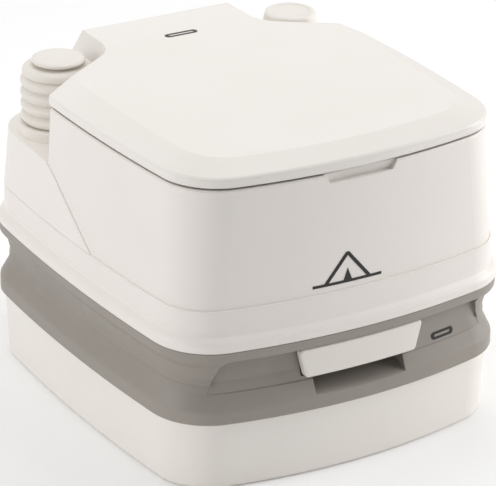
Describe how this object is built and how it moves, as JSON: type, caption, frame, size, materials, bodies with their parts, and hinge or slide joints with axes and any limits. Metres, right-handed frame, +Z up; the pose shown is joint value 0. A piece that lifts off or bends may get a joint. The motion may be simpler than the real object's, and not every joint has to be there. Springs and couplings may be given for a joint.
{
  "type": "portable camp toilet",
  "caption": "Two-part portable camping toilet: flush tank with bowl, seat, hinged lid, bellows pump and fill cap, latched on a waste tank with a slide valve and pour-out spout.",
  "frame": {"origin": "on the floor under the middle of the object", "axes": "+X to the right seen from the front, -Y towards the front, +Z up"},
  "size_m": [0.386, 0.4229, 0.3249],
  "materials": {
    "white_shell": "satin",
    "white_base": "satin",
    "white_lid": "satin",
    "white_seat": "satin",
    "white_bowl": "gloss",
    "white_fittings": "satin",
    "grey_shell": "matte",
    "grey_valve": "matte",
    "bellows": "soft satin",
    "seal": "matte",
    "spring_steel": "bright",
    "steel": "satin",
    "hose": "matte",
    "print": "matte"
  },
  "bodies": {
    "waste_tank": {"waste_tank_base": "white_base", "waste_tank_top": "grey_shell", "valve_lower_plate": "grey_valve", "valve_upper_plate": "grey_valve", "lip_seal": "seal", "blade_seal": "seal", "valve_screws": "steel", "spout_collar": "white_fittings", "vent_guide": "white_fittings", "vent_spring": "spring_steel", "latch_hook": "white_fittings", "level_mark": "print"},
    "valve": {"valve_blade": "grey_valve", "valve_handle": "white_fittings", "handle_screws": "steel"},
    "spout": {"pour_spout": "white_fittings"},
    "spout_cap": {"spout_cap": "white_fittings", "spout_cap_seal": "seal"},
    "vent": {"vent_button": "grey_valve", "vent_seal": "seal"},
    "flush_tank": {"flush_tank_shell": "white_shell", "flush_tank_floor": "white_shell", "bowl": "white_bowl", "outlet_gasket": "seal", "hinge_pins": "steel", "pump_collar": "white_fittings", "suction_tube": "hose", "foot_valve": "grey_valve", "flush_hose": "hose", "rim_nozzle": "white_fittings", "fill_neck": "white_fittings", "latch_pin": "steel", "front_mark": "print", "pump_bellows": "bellows"},
    "pump": {"pump_button": "white_fittings"},
    "cap_thread": {"fill_cap_seal": "seal"},
    "fill_cap": {"fill_cap": "white_fittings"},
    "latch": {"latch_lever": "grey_valve"},
    "seat": {"seat_ring": "white_seat", "seat_buffers": "seal"},
    "lid": {"lid": "white_lid", "lid_buffers": "seal", "lid_mark": "print"}
  },
  "joints": [
    {"name": "valve_slide", "type": "slide", "parent": "waste_tank", "child": "valve", "axis": [0, -1, 0], "range_m": [0, 0.12]},
    {"name": "spout_swing", "type": "hinge", "parent": "waste_tank", "child": "spout", "pos_m": [0.044, 0.176, 0.15], "axis": [0, 0, -1], "range_deg": [0, 90]},
    {"name": "spout_cap_turn", "type": "hinge", "parent": "spout", "child": "spout_cap", "pos_m": [-0.04, 0.176, 0.181], "axis": [-1, 0, 0], "range_deg": [0, 120]},
    {"name": "vent_press", "type": "slide", "parent": "waste_tank", "child": "vent", "axis": [0, 0, -1], "range_m": [0, 0.004], "stiffness_N_per_m": 300, "springref_m": -0.002, "deforming": ["vent_spring"]},
    {"name": "tank_lift", "type": "slide", "parent": "waste_tank", "child": "flush_tank", "axis": [0, 0, 1], "range_m": [0, 0.06]},
    {"name": "latch_swing", "type": "hinge", "parent": "flush_tank", "child": "latch", "pos_m": [0.088, 0.1575, 0.178], "axis": [-1, 0, 0], "range_deg": [0, 12]},
    {"name": "pump_press", "type": "slide", "parent": "flush_tank", "child": "pump", "axis": [0, 0, -1], "range_m": [0, 0.032], "stiffness_N_per_m": 220, "springref_m": -0.006, "deforming": ["pump_bellows"]},
    {"name": "cap_lift", "type": "slide", "parent": "flush_tank", "child": "cap_thread", "axis": [0, 0, 1], "range_m": [0, 0.0061]},
    {"name": "cap_turn", "type": "hinge", "parent": "cap_thread", "child": "fill_cap", "pos_m": [0.133, 0.138, 0.3], "axis": [0, 0, 1], "range_deg": [0, 540]},
    {"name": "seat_hinge", "type": "hinge", "parent": "flush_tank", "child": "seat", "pos_m": [0, 0.172, 0.3135], "axis": [-1, 0, 0], "range_deg": [0, 90]},
    {"name": "lid_hinge", "type": "hinge", "parent": "seat", "child": "lid", "pos_m": [0, 0.172, 0.3135], "axis": [-1, 0, 0], "range_deg": [0, 95]}
  ],
  "couplings": [
    {"joint": "cap_lift", "follows": "cap_turn", "m_per_rad": 0.0006366}
  ]
}
